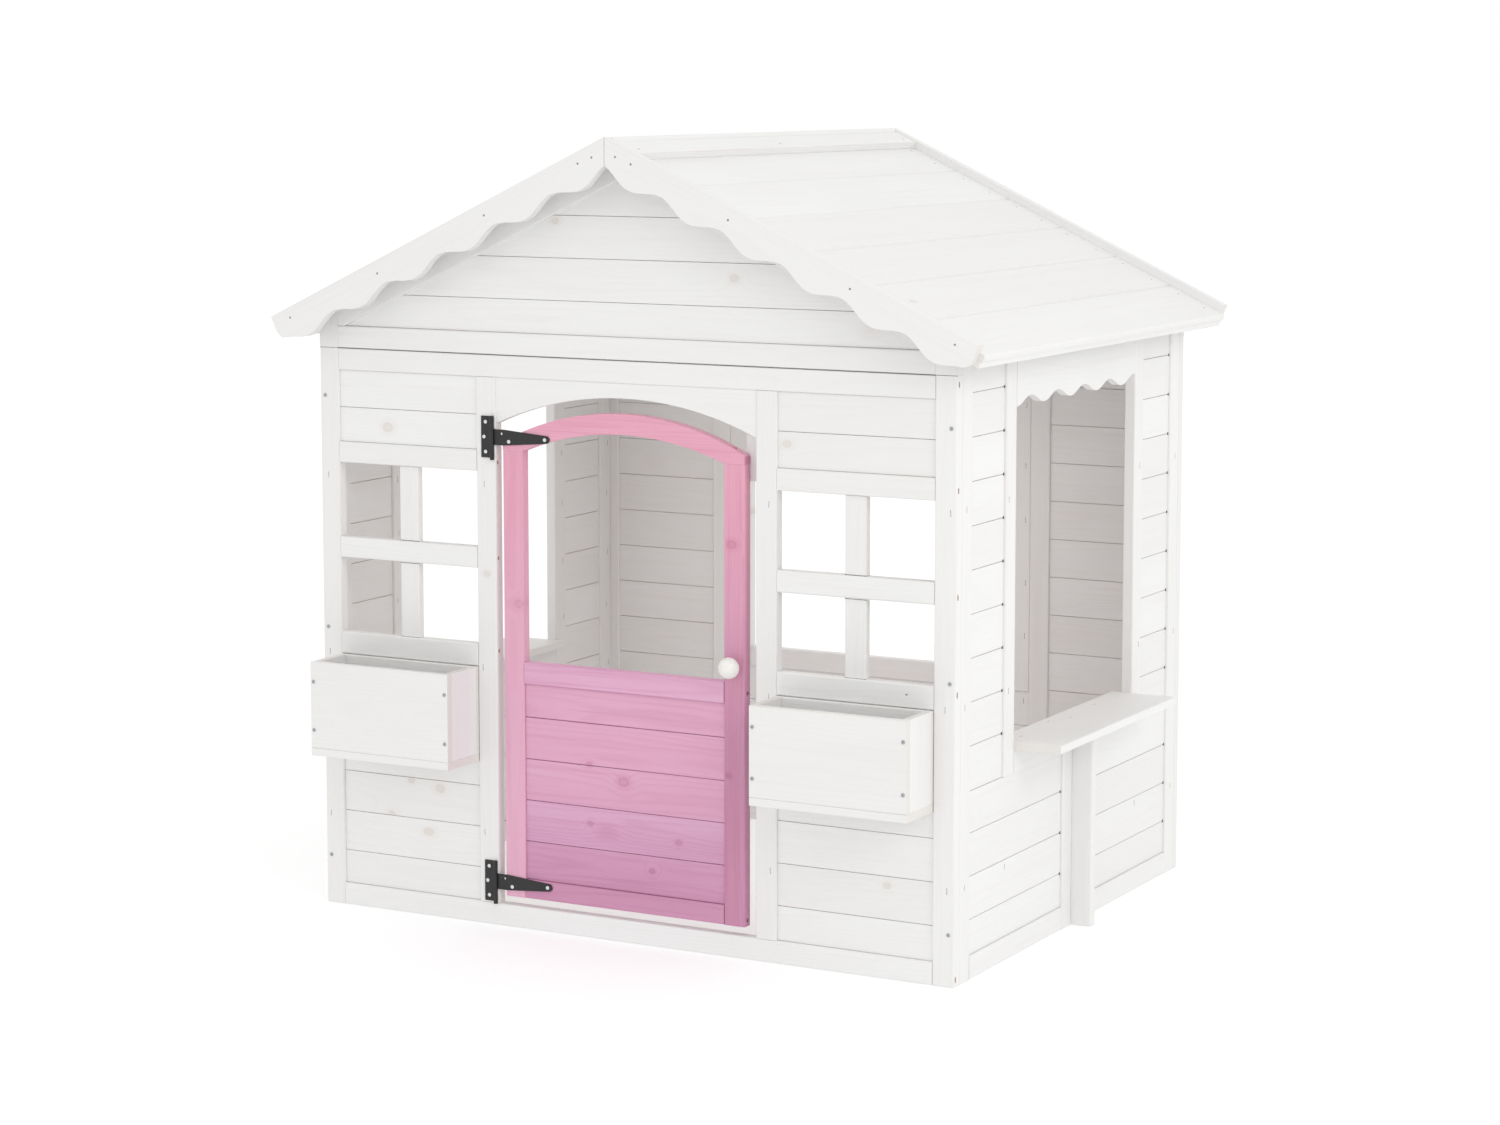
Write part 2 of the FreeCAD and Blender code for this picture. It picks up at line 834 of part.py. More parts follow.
export("front_posts", front_posts())
export("front_rails", front_rails())
export("front_jambs", front_jambs())
export("door_header", door_header())
export("window_rails", window_frame_rails())
export("window_muntins", window_muntins())
export("front_boards", front_boards())
export("door_stop", door_stop())
export("stop_screws", stop_screws())

for part_name, draw in (("frame", side_frame), ("jambs", side_jambs), ("boards", side_boards),
                        ("middle_post", middle_post), ("counter", counter),
                        ("valance", valance)):
    right = right_wall(draw())
    export("right_" + part_name, right)
    export("left_" + part_name, mirrored(right))

export("rear_posts", rear_wall(rear_posts()))
export("rear_frame", rear_wall(rear_frame()))
export("rear_window_frame", rear_wall(rear_window_frame()))
export("rear_boards", rear_wall(rear_boards()))

export("front_gable_frame", gable_frame())
export("front_gable_boards", gable_boards())
export("rear_gable_frame", rear_wall(gable_frame()))
export("rear_gable_boards", rear_wall(gable_boards()))

for part_name, draw in (("roof_boards", roof_boards), ("roof_battens", roof_battens)):
    right = right_slope(draw())
    export("right_" + part_name, right)
    export("left_" + part_name, mirrored(right))
export("ridge_caps", ridge_caps())
for end, y in (("front", -front_overhang), ("rear", roof_rear)):
    right = bargeboard(y)
    export(end + "_right_bargeboard", right)
    export(end + "_left_bargeboard", mirrored(right))

export("planter_fronts", planter_fronts())
export("planter_backs", planter_backs())
export("planter_ends", planter_ends())
export("planter_floors", planter_floors())

export("door_stiles", door_stiles())
export("door_arch", door_arch())
export("door_mid_rail", door_rail(*door_mid_rail))
export("door_bottom_rail", door_rail(door_bottom, door_bottom_rail_top))
export("door_boards", door_boards())
export("door_frame_screws", door_frame_screws())
export("door_knob", door_knob())
export("knob_screw", knob_screw())

export("hinge_plates", hinge_plates())
export("hinge_pins", hinge_pins())
export("hinge_straps", hinge_straps())
export("plate_screws", leaf_screws(plate_screws_at))
export("strap_screws", leaf_screws(strap_screws_at))
export("wall_screws", wall_screws())
export("planter_screws", planter_screws())
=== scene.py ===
import bpy
import bmesh
import math
import random
import numpy as np
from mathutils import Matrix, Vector
from mathutils.bvhtree import BVHTree


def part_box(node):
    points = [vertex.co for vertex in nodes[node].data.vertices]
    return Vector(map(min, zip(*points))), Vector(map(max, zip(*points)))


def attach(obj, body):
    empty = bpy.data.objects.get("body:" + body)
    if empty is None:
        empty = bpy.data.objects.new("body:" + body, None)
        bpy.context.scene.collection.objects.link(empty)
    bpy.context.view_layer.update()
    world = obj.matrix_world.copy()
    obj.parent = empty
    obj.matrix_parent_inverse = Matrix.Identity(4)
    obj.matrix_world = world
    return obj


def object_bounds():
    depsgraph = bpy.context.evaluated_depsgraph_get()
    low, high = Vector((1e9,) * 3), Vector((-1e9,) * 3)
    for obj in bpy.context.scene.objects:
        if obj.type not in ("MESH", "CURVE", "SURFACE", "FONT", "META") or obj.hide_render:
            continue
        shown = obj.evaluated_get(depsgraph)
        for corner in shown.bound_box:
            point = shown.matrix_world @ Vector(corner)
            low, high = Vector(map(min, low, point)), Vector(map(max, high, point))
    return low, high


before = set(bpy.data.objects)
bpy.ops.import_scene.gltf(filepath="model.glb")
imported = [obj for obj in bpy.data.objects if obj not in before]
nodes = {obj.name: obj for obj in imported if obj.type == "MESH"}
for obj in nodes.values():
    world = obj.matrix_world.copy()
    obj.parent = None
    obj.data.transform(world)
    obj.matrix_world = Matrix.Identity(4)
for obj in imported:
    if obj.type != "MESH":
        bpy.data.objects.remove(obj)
cadLow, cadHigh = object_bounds()
scene = bpy.context.scene
print("frame loaded:", len(nodes), "nodes")

# the camera and the studio, in metres, yaw and pitch in radians
studio = {
    "cameraAt": (2.82417, -5.21835, 1.42661),
    "yaw": 0.4978,
    "pitch": 0.1128,
    "lens": 82.034,
    "shift": -0.0667,
    "skyColour": (1.0, 1.0, 1.0, 1.0),
    "skyStrength": 1.0,
    "floorRadius": 30.0,
    "floorColour": (0.62, 0.62, 0.62),
    "floorLift": 0.42,
    "lamps": [
        # place, size, watts, colour
        ((3.6, -1.9, 2.6), 2.2, 27.0, (1.0, 1.0, 1.0)),
        ((-0.6, -4.6, 2.2), 2.8, 1.5, (1.0, 1.0, 1.0)),
        ((0.0, 0.0, 0.93), 0.5, 1.05, (1.0, 0.85, 0.72)),
    ],
}

cameraData = bpy.data.cameras.new("portrait")
cameraData.lens = studio["lens"]
cameraData.sensor_width = 36.0
cameraData.shift_y = studio["shift"]
camera = bpy.data.objects.new("portrait", cameraData)
camera.location = studio["cameraAt"]
camera.rotation_euler = (math.pi / 2 - studio["pitch"], 0.0, studio["yaw"])
scene.collection.objects.link(camera)
scene.camera = camera
scene.view_settings.view_transform = "Standard"


class Wire:
    # one socket of a paint, so that shader maths reads as arithmetic
    def __init__(self, paint, socket):
        self.paint = paint
        self.socket = socket

    def maths(self, operation, *others):
        values = dict(enumerate((self, *others)))
        return self.paint.add("ShaderNodeMath", {"operation": operation}, values)

    def __add__(self, other):
        return self.maths("ADD", other)

    def __radd__(self, other):
        return self.maths("ADD", other)

    def __sub__(self, other):
        return self.maths("SUBTRACT", other)

    def __rsub__(self, other):
        return self * -1.0 + other

    def __mul__(self, other):
        return self.maths("MULTIPLY", other)

    def __rmul__(self, other):
        return self.maths("MULTIPLY", other)

    def __truediv__(self, other):
        return self.maths("DIVIDE", other)

    def __rtruediv__(self, other):
        return self ** -1.0 * other

    def __pow__(self, other):
        return self.maths("POWER", other)

    def __abs__(self):
        return self.maths("ABSOLUTE")


class Paint:
    # a material and the nodes that make it
    def __init__(self, name):
        self.material = bpy.data.materials.new(name)
        self.material.use_nodes = True
        self.tree = self.material.node_tree
        self.tree.nodes.clear()

    def add(self, kind, settings=None, values=None, output=0):
        node = self.tree.nodes.new(kind)
        for key, value in (settings or {}).items():
            setattr(node, key, value)
        for key, value in (values or {}).items():
            if isinstance(value, Wire):
                self.tree.links.new(value.socket, node.inputs[key])
            else:
                node.inputs[key].default_value = value
        return Wire(self, node.outputs[output]) if node.outputs else None

    def attribute(self, name, output="Vector"):
        return self.add("ShaderNodeAttribute", {"attribute_name": name}, None, output)

    def vector(self, operation, *values, output="Vector"):
        return self.add("ShaderNodeVectorMath", {"operation": operation}, dict(enumerate(values)), output)

    def combine(self, x, y, z):
        return self.add("ShaderNodeCombineXYZ", None, {0: x, 1: y, 2: z})

    def parts(self, vector):
        split = self.add("ShaderNodeSeparateXYZ", None, {0: vector})
        return [Wire(self, socket) for socket in split.socket.node.outputs]

    def noise(self, place, scale, detail=2.0, roughness=0.5, output="Fac"):
        values = {"Vector": place, "Scale": scale, "Detail": detail, "Roughness": roughness}
        return self.add("ShaderNodeTexNoise", None, values, output)

    def fade(self, value, start, end, low=0.0, high=1.0):
        # low below start, high above end, smooth between
        settings = {"interpolation_type": "SMOOTHSTEP"}
        values = {"Value": value, "From Min": start, "From Max": end, "To Min": low, "To Max": high}
        return self.add("ShaderNodeMapRange", settings, values)

    def mix(self, share, first, second, how="MIX"):
        # RGBA sockets of a Mix node: factor 0, colours 6 and 7, result 2
        settings = {"data_type": "RGBA", "blend_type": how}
        return self.add("ShaderNodeMix", settings, {0: share, 6: first, 7: second}, 2)

    def bump(self, height, strength, distance):
        values = {"Height": height, "Strength": strength, "Distance": distance}
        return self.add("ShaderNodeBump", None, values)

    def finish(self, values):
        shader = self.add("ShaderNodeBsdfPrincipled", None, values)
        self.add("ShaderNodeOutputMaterial", None, {"Surface": shader})
        return self.material


def colour(red, green, blue):
    return (red, green, blue, 1.0)


timber = {
    "roofPitch": 25.12,     # degrees
    "snap": 1e-5,           # corners nearer than this are one
}


def frames():
    # the directions that a stick may take: the walls', and each roof slope's
    pitch = math.radians(timber["roofPitch"])
    down, up = math.cos(pitch), math.sin(pitch)
    yield np.eye(3)
    for side in (1, -1):
        yield np.array([[side * down, 0, -up], [0, 1, 0], [side * up, 0, down]])


def markGrain(node):
    # gives every vertex its place along, across and through its own stick
    mesh = node.data
    count = len(mesh.vertices)
    places = np.empty(count * 3, np.float32)
    mesh.vertices.foreach_get("co", places)
    places = places.reshape(-1, 3).astype(float)
    corners, which = np.unique(np.round(places / timber["snap"]), axis=0, return_inverse=True)
    which = which.ravel()
    leader = list(range(len(corners)))

    def lead(k):
        while leader[k] != k:
            leader[k] = leader[leader[k]]
            k = leader[k]
        return k

    for face in mesh.polygons:
        ids = [which[v] for v in face.vertices]
        for other in ids[1:]:
            a, b = lead(ids[0]), lead(other)
            if a != b:
                leader[max(a, b)] = min(a, b)
    island = np.array([lead(k) for k in range(len(corners))])[which]

    dice = random.Random(node.name)
    grain = np.zeros((count, 3), np.float32)
    stick = np.zeros((count, 3), np.float32)
    seed = np.zeros(count, np.float32)
    for name in sorted(set(island.tolist())):
        mine = island == name
        found = None
        for axes in frames():
            turned = places[mine] @ axes.T
            low, high = turned.min(0), turned.max(0)
            size = high - low
            volume = float(np.prod(np.maximum(size, 1e-4)))
            if found is None or volume < 0.93 * found[0]:
                found = (volume, turned - (low + high) / 2, size)
        order = np.argsort(-found[2], kind="stable")
        grain[mine] = found[1][:, order]
        stick[mine] = found[2][order] / 2
        seed[mine] = dice.random()
    for title, kind, values in (("grain", "FLOAT_VECTOR", grain), ("stick", "FLOAT_VECTOR", stick),
                                ("seed", "FLOAT", seed)):
        layer = mesh.attributes.new(title, kind, "POINT")
        layer.data.foreach_set("vector" if kind == "FLOAT_VECTOR" else "value", values.ravel())


# widths and distances in metres, angles in degrees
easing = {
    "white_wood": 0.0004,
    "pink_wood": 0.0006,
    "lilac_wood": 0.0006,
    "steps": 2,
    "weld": 0.00005,
    "flatAngle": 0.3,
    "edgeAngle": 40,
}


def easeEdges(node, width):
    # takes the sharpness off every arris
    weld = node.modifiers.new("weld", "WELD")
    weld.merge_threshold = easing["weld"]
    flat = node.modifiers.new("flat", "DECIMATE")
    flat.decimate_type = "DISSOLVE"
    flat.angle_limit = math.radians(easing["flatAngle"])
    ease = node.modifiers.new("ease", "BEVEL")
    ease.width = width
    ease.segments = easing["steps"]
    ease.limit_method = "ANGLE"
    ease.angle_limit = math.radians(easing["edgeAngle"])
    ease.harden_normals = False
    even = node.modifiers.new("even", "WEIGHTED_NORMAL")
    even.keep_sharp = False
    even.weight = 100


def placedKnots(paint, knots):
    # how many radii away the nearest knot of the list is; each is (x, z, radius)
    x, _, z = paint.parts(paint.add("ShaderNodeTexCoord", None, None, "Object"))
    nearest = None
    for knotX, knotZ, radius in knots:
        right, above = (x - knotX) * (0.85 / radius), (z - knotZ) * (1.1 / radius)
        away = (right * right + above * above) ** 0.5
        nearest = away if nearest is None else nearest.maths("MINIMUM", away)
    return nearest


def knotMasks(paint, ratio):
    core = paint.fade(ratio, 0.75, 1.0, 1.0, 0.0)
    rim = paint.fade(abs(ratio - 0.92), 0.0, 0.22, 1.0, 0.0)
    halo = paint.fade(ratio, 0.9, 2.6, 1.0, 0.0)
    return core, rim, halo


def timberPaint(name, look):
    paint = Paint(name)
    grain = paint.attribute("grain")
    stick = paint.attribute("stick")
    seed = paint.attribute("seed", "Fac")
    along, across, through = paint.parts(grain)
    halfLength, halfWidth, halfDepth = paint.parts(stick)
    place = paint.vector("ADD", grain, paint.combine(seed * 31.0, seed * 17.0, seed * 9.0))

    # growth rings round a heart that lies off the board, and wanders along it
    slow = paint.vector("MULTIPLY", place, look["slowSpread"])
    wander = paint.noise(slow, 1.0, 2.0, 0.5, "Color")
    wanderAcross, wanderThrough = paint.parts(wander)[:2]
    knotCells = paint.vector("MULTIPLY", place, look["knotSpread"])
    cell = paint.add("ShaderNodeTexVoronoi", None, {"Vector": knotCells, "Scale": 1.0, "Randomness": 0.9},
                     "Distance")
    cellColour = Wire(paint, cell.socket.node.outputs["Color"])
    chance, size = paint.parts(cellColour)[:2]
    present = paint.fade(chance, look["knotRare"] - 0.01, look["knotRare"])
    reach = size * look["knotVary"] + look["knotSize"]
    placed = placedKnots(paint, look["knots"])
    swirl = paint.fade(cell, 0.0, 0.34, look["swirl"], 0.0) * present \
        + paint.fade(placed, 0.0, 4.5, look["swirl"], 0.0)
    heartAcross = across + (wanderAcross - 0.5) * look["wander"] + (seed - 0.5) * look["heartSpread"]
    heartThrough = through + (wanderThrough - 0.5) * look["wander"] \
        + (seed * look["heartSpread"] + look["heartDepth"])
    radius = (heartAcross * heartAcross + heartThrough * heartThrough) ** 0.5 + swirl
    wave = (radius * (2 * math.pi / look["ringPitch"])).maths("SINE")
    late = paint.fade(wave, -0.1, 1.0)
    sharpLate = late * late

    fibrePlace = paint.vector("MULTIPLY", place, look["fibreSpread"])
    fibre = paint.noise(fibrePlace, 1.0, 3.0, 0.6)
    streakPlace = paint.vector("MULTIPLY", place, look["streakSpread"])
    streak = paint.noise(streakPlace, 1.0, 3.0, 0.55)
    cloudPlace = paint.vector("MULTIPLY", place, look["cloudSpread"])
    cloud = paint.noise(cloudPlace, 1.0, 2.0, 0.5)

    # knots: a core, a dark rim and a soft halo, scattered first and then the placed ones
    core, rim, halo = [mask * present for mask in knotMasks(paint, cell / reach)]
    core, rim, halo = [first.maths("MAXIMUM", second)
                       for first, second in zip((core, rim, halo), knotMasks(paint, placed))]

    # arrises and end grain; the arris tint is real wear on white and pink timber and painted seam shade on
    # the lilac door boards
    toEdge = halfWidth - abs(across)
    toFace = halfDepth - abs(through)
    arris = paint.fade(toEdge, 0.0, look["wearAndSeamShadeReach"], 1.0, 0.0) \
        * paint.fade(toFace, 0.0, look["wearAndSeamShadeReach"], 1.0, 0.0)
    wearAndSeamShade = arris * paint.fade(streak, 0.42, 0.62)
    endGrain = paint.fade(halfLength - abs(along), 0.0002, 0.0006, 1.0, 0.0)

    tone = paint.mix(paint.fade(cloud, 0.3, 0.7), look["wash"], look["washLow"])
    tone = paint.mix(paint.fade(seed, 0.0, 1.0) * look["boardVary"], tone, look["boardLow"])
    tone = paint.mix(sharpLate * look["ringShow"], tone, look["ring"])
    tone = paint.mix(paint.fade(streak, 0.5, 0.75) * look["streakShow"], tone, look["streak"])
    tone = paint.mix(paint.fade(fibre, 0.45, 0.8) * look["fibreShow"], tone, look["ring"])
    tone = paint.mix(halo * look["haloShow"], tone, look["halo"])
    tone = paint.mix(core * look["knotShow"], tone, look["knot"])
    tone = paint.mix(rim * look["rimShow"], tone, look["rim"])
    tone = paint.mix(wearAndSeamShade * look["wearAndSeamShadeShow"], tone, look["wearAndSeamShade"])
    tone = paint.mix(endGrain * look["endShow"], tone, look["end"])
    if "foot" in look:
        # painted shade: darker and more lilac towards the foot of the door, with a lighter lilac painted
        # bounce light low on its left side
        acrossDoor, _, height = paint.parts(paint.add("ShaderNodeTexCoord", None, None, "Object"))
        low = paint.fade(height, look["footLow"], look["footHigh"], look["footShow"], 0.0)
        side = paint.fade(acrossDoor, look["footLeft"], look["footRight"], look["footLeftShare"], 1.0)
        tone = paint.mix(low * side, tone, look["foot"], "MULTIPLY")
        tone = paint.mix(low * (1 - side) * look["paintedBounceShow"], tone, look["paintedBounceTint"])

    roughness = look["roughness"] + (fibre - 0.5) * 0.16 + endGrain * 0.12 - sharpLate * 0.05
    height = sharpLate * look["ringRise"] + fibre * look["fibreRise"] + streak * 0.2 + rim * 0.35
    normal = paint.bump(height, look["bump"], look["bumpDepth"])
    return paint.finish({"Base Color": tone, "Roughness": roughness, "Normal": normal,
                         "Specular IOR Level": 0.35})


whitewash = {
    "wash": colour(0.822, 0.822, 0.818), "washLow": colour(0.802, 0.80, 0.794),
    "boardVary": 0.6, "boardLow": colour(0.775, 0.768, 0.757),
    "ring": colour(0.73, 0.69, 0.65), "ringShow": 0.09, "ringPitch": 0.0052, "ringRise": 0.4,
    "streak": colour(0.745, 0.69, 0.645), "streakShow": 0.15,
    "fibreShow": 0.07, "fibreRise": 0.4,
    "knots": ((-0.465, 0.834, 0.009), (-0.425, 0.230, 0.006), (-0.366, 0.221, 0.008),
              (-0.265, 0.598, 0.006), (0.300, 0.845, 0.007), (0.205, 1.105, 0.007),
              (-0.130, 1.190, 0.006), (0.480, 0.150, 0.006)),
    "slowSpread": (1.3, 6.0, 6.0), "fibreSpread": (14.0, 620.0, 620.0),
    "streakSpread": (2.4, 85.0, 85.0), "cloudSpread": (3.0, 14.0, 14.0),
    "heartSpread": 0.05, "heartDepth": 0.02,
    "wander": 0.05, "swirl": 0.007,
    "knotSpread": (5.5, 9.0, 2.0), "knotRare": 0.70, "knotSize": 0.035, "knotVary": 0.05,
    "knot": colour(0.62, 0.55, 0.49), "knotShow": 0.34,
    "rim": colour(0.50, 0.43, 0.37), "rimShow": 0.2,
    "halo": colour(0.745, 0.695, 0.65), "haloShow": 0.35,
    "wearAndSeamShade": colour(0.72, 0.65, 0.57), "wearAndSeamShadeShow": 0.45, "wearAndSeamShadeReach": 0.0022,
    "end": colour(0.69, 0.64, 0.58), "endShow": 0.45,
    "roughness": 0.56, "bump": 0.25, "bumpDepth": 0.0006,
}

pinkStain = dict(
    whitewash,
    wash=colour(0.765, 0.395, 0.51), washLow=colour(0.735, 0.355, 0.465),
    boardVary=0.4, boardLow=colour(0.69, 0.32, 0.435),
    ring=colour(0.58, 0.20, 0.31), ringShow=0.17, ringPitch=0.0044,
    streak=colour(0.62, 0.23, 0.35), streakShow=0.42,
    fibreShow=0.20, wander=0.03, bump=0.35,
    knots=((-0.203, 0.552, 0.0075), (0.202, 0.678, 0.007), (0.196, 0.30, 0.004)),
    knot=colour(0.42, 0.12, 0.17), knotShow=0.15, rim=colour(0.33, 0.09, 0.12), rimShow=0.3,
    halo=colour(0.62, 0.24, 0.34), haloShow=0.4,
    wearAndSeamShade=colour(0.80, 0.50, 0.60), wearAndSeamShadeShow=0.6,
    end=colour(0.50, 0.17, 0.26), endShow=0.6,
    # the foot settings paint shade low on the door, and a lighter painted bounce light low on its left side
    foot=colour(0.72, 0.66, 0.78), footLow=0.30, footHigh=0.85, footShow=0.95, footLeft=-0.1, footRight=0.2,
    footLeftShare=0.2, paintedBounceTint=colour(0.77, 0.475, 0.605), paintedBounceShow=0.6,
    roughness=0.5,
)

lilacStain = dict(
    pinkStain,
    wash=colour(0.728, 0.458, 0.635), washLow=colour(0.695, 0.40, 0.575),
    boardVary=0.75, boardLow=colour(0.70, 0.36, 0.49),
    ring=colour(0.54, 0.22, 0.37), streak=colour(0.58, 0.26, 0.42),
    knot=colour(0.42, 0.14, 0.24), rim=colour(0.34, 0.10, 0.18), halo=colour(0.57, 0.25, 0.40),
    knots=((-0.004, 0.269, 0.008), (0.100, 0.178, 0.0045), (-0.068, 0.192, 0.004), (-0.070, 0.292, 0.0045),
           (0.050, 0.125, 0.004)),
    # painted shade: a dark tint along the door boards' arrises stands in for the shade in their seams
    wearAndSeamShade=colour(0.36, 0.12, 0.24), wearAndSeamShadeShow=0.9, wearAndSeamShadeReach=0.0015, end=colour(0.30, 0.10, 0.20),
    # painted shade: the lilac boards darken towards the bottom rail
    foot=colour(0.80, 0.68, 0.76), footLow=0.08, footHigh=0.30, footLeftShare=1.0,
)

paints = {
    "white_wood": timberPaint("whitewashedTimber", whitewash),
    "pink_wood": timberPaint("pinkStainedTimber", pinkStain),
    "lilac_wood": timberPaint("lilacStainedTimber", lilacStain),
}
print("timber paints made")


def blackSteelPaint(look):
    # stove enamel over pressed steel
    paint = Paint("blackEnamel")
    place = paint.add("ShaderNodeTexCoord", None, None, "Object")
    peel = paint.noise(place, look["peelScale"], 3.0, 0.55)
    dust = paint.noise(place, look["dustScale"], 4.0, 0.6)
    tone = paint.mix(paint.fade(dust, 0.5, 0.8) * 0.5, look["enamel"], look["dust"])
    roughness = look["roughness"] + (dust - 0.5) * 0.25
    normal = paint.bump(peel, 0.25, 0.0003)
    return paint.finish({"Base Color": tone, "Roughness": roughness, "Normal": normal})


def zincPaint(name, look):
    # plating with a brushed, slightly blotched face
    paint = Paint(name)
    place = paint.add("ShaderNodeTexCoord", None, None, "Object")
    blotch = paint.noise(place, look["blotchScale"], 3.0, 0.6)
    brushed = paint.noise(paint.vector("MULTIPLY", place, (3000.0, 700.0, 3000.0)), 1.0, 2.0, 0.5)
    tone = paint.mix(paint.fade(blotch, 0.35, 0.7), look["bright"], look["dull"])
    roughness = look["roughness"] + (blotch - 0.5) * 0.3
    normal = paint.bump(brushed, 0.12, 0.0002)
    return paint.finish({"Base Color": tone, "Metallic": 1.0, "Roughness": roughness, "Normal": normal})


def knobPaint(look):
    # turned and lacquered, with faint lathe lines round its axis
    paint = Paint("lacqueredKnob")
    place = paint.add("ShaderNodeTexCoord", None, None, "Object")
    depth = paint.parts(place)[1]
    mottle = paint.noise(place, look["mottleScale"], 2.0, 0.5)
    turning = (depth * look["turning"]).maths("SINE")
    tone = paint.mix(paint.fade(mottle, 0.35, 0.7), look["lacquer"], look["shade"])
    roughness = look["roughness"] + (mottle - 0.5) * 0.12
    normal = paint.bump(turning * 0.3 + mottle * 0.7, 0.10, 0.0004)
    return paint.finish({"Base Color": tone, "Roughness": roughness, "Normal": normal, "Coat Weight": 0.25,
                         "Coat Roughness": 0.2})


enamel = {"enamel": colour(0.012, 0.012, 0.013), "dust": colour(0.03, 0.03, 0.031), "peelScale": 900.0,
          "dustScale": 160.0, "roughness": 0.42}
# zinc mirrors the white studio, so its own colour is kept low, except on the hinges' screws
zinc = {"bright": colour(0.50, 0.51, 0.53), "dull": colour(0.33, 0.34, 0.36), "blotchScale": 900.0,
        "roughness": 0.32}
lacquer = {"lacquer": colour(0.84, 0.83, 0.80), "shade": colour(0.80, 0.78, 0.745), "mottleScale": 120.0,
           "turning": 2600.0, "roughness": 0.38}
paints["black_steel"] = blackSteelPaint(enamel)
paints["zinc_steel"] = zincPaint("dullZinc", zinc)
polished = dict(zinc, bright=colour(0.86, 0.86, 0.87), dull=colour(0.68, 0.69, 0.70))
hingeScrews = zincPaint("brightZinc", polished)
paints["white_knob"] = knobPaint(lacquer)


# each node of the frame gets its finish
for title, node in nodes.items():
    slot = node.data.materials[0].name.split(".")[0]
    for holder in node.material_slots:
        holder.link = "OBJECT"
        holder.material = hingeScrews if title in ("plate_screws", "strap_screws") else paints[slot]
    if slot in easing:
        markGrain(node)
        easeEdges(node, easing[slot])
print("finishes given to", len(nodes), "nodes")


# staples and nails: sizes in metres, lists are places along a wall or up it
fasteners = {
    "stapleHalf": 0.0047,
    "legHalf": 0.0007,
    "wireHalf": 0.00042,
    "proud": 0.0003,
    "nailRadius": 0.0019,
    "nailSides": 14,
    # share of the radius and height above the timber, ring by ring
    "nailRings": ((1.0, -0.0006), (1.0, 0.00004), (0.72, 0.00012), (0.3, 0.00015)),
    "reach": 0.03,          # how far off the timber it is looked for
    "level": 0.0004,        # the most that the timber may step under one staple
    "stray": 0.004,
    "counter": ((0.10, 0.030), (0.37, 0.016), (0.47, 0.034), (0.74, 0.020)),
    "inside": (0.10, 0.20, 0.285, 0.40, 0.505, 0.62, 0.715, 0.83, 0.90),
    "outside": (0.155, 0.44, 0.75),
    "stileInset": 0.014,
    "jambInset": 0.011,
    "bargeNails": ((0.033, -0.020), (0.024, -0.044), (0.062, -0.018), (0.262, -0.020), (0.497, -0.021),
                   (0.694, -0.017)),
    "roofBoard": 0.1175,    # pitch of the boards down the slope
    "roofEave": 0.740,
    "roofInset": 0.028,
    "capNail": 0.042,
}


xAxis, yAxis, zAxis = Vector((1, 0, 0)), Vector((0, 1, 0)), Vector((0, 0, 1))


def surfaceOf(names):
    corners, faces = [], []
    for name in names:
        mesh = nodes[name].data
        start = len(corners)
        corners.extend(vertex.co.copy() for vertex in mesh.vertices)
        faces.extend([start + index for index in face.vertices] for face in mesh.polygons)
    return BVHTree.FromPolygons(corners, faces)


def strike(skin, place, out):
    # where a fastener driven against "out" meets flat timber, or nothing
    hit, normal = skin.ray_cast(place + out * fasteners["reach"], -out, 2 * fasteners["reach"])[:2]
    return hit if hit is not None and normal.dot(out) > 0.99 else None


def addBar(shape, centre, along, side, out, reaches):
    # a closed bar through rings of (place along, half width, lift of its top, lift of its foot)
    rings = []
    for reach, half, top, foot in reaches:
        middle = centre + along * reach
        rings.append([shape.verts.new(middle + side * s * half + out * lift)
                      for s, lift in ((-1, foot), (-0.8, top), (0.8, top), (1, foot))])
    for first, second in zip(rings, rings[1:]):
        for k in range(4):
            shape.faces.new((first[k], first[(k + 1) % 4], second[(k + 1) % 4], second[k]))
    shape.faces.new(rings[0][::-1])
    shape.faces.new(rings[-1])


def addStaple(shape, skin, place, along, out):
    # a flat crown with its two legs turned into the timber
    half, leg, proud = fasteners["stapleHalf"], fasteners["legHalf"], fasteners["proud"]
    hits = [strike(skin, place + along * reach, out) for reach in (-half - leg, 0.0, half + leg)]
    if None in hits:
        return
    heights = [hit.dot(out) for hit in hits]
    if max(heights) - min(heights) > fasteners["level"]:
        return
    side = along.cross(out).normalized()
    wire = fasteners["wireHalf"]
    foot = -4 * proud
    addBar(shape, hits[1], along, side, out, [
        (-half - leg, wire, foot, 2 * foot), (-half - leg * 0.4, wire * 1.5, proud * 0.5, foot),
        (-half + leg, wire * 1.5, proud * 0.8, foot), (-half + 2 * leg, wire, proud, foot),
        (half - 2 * leg, wire, proud, foot), (half - leg, wire * 1.5, proud * 0.8, foot),
        (half + leg * 0.4, wire * 1.5, proud * 0.5, foot), (half + leg, wire, foot, 2 * foot)])


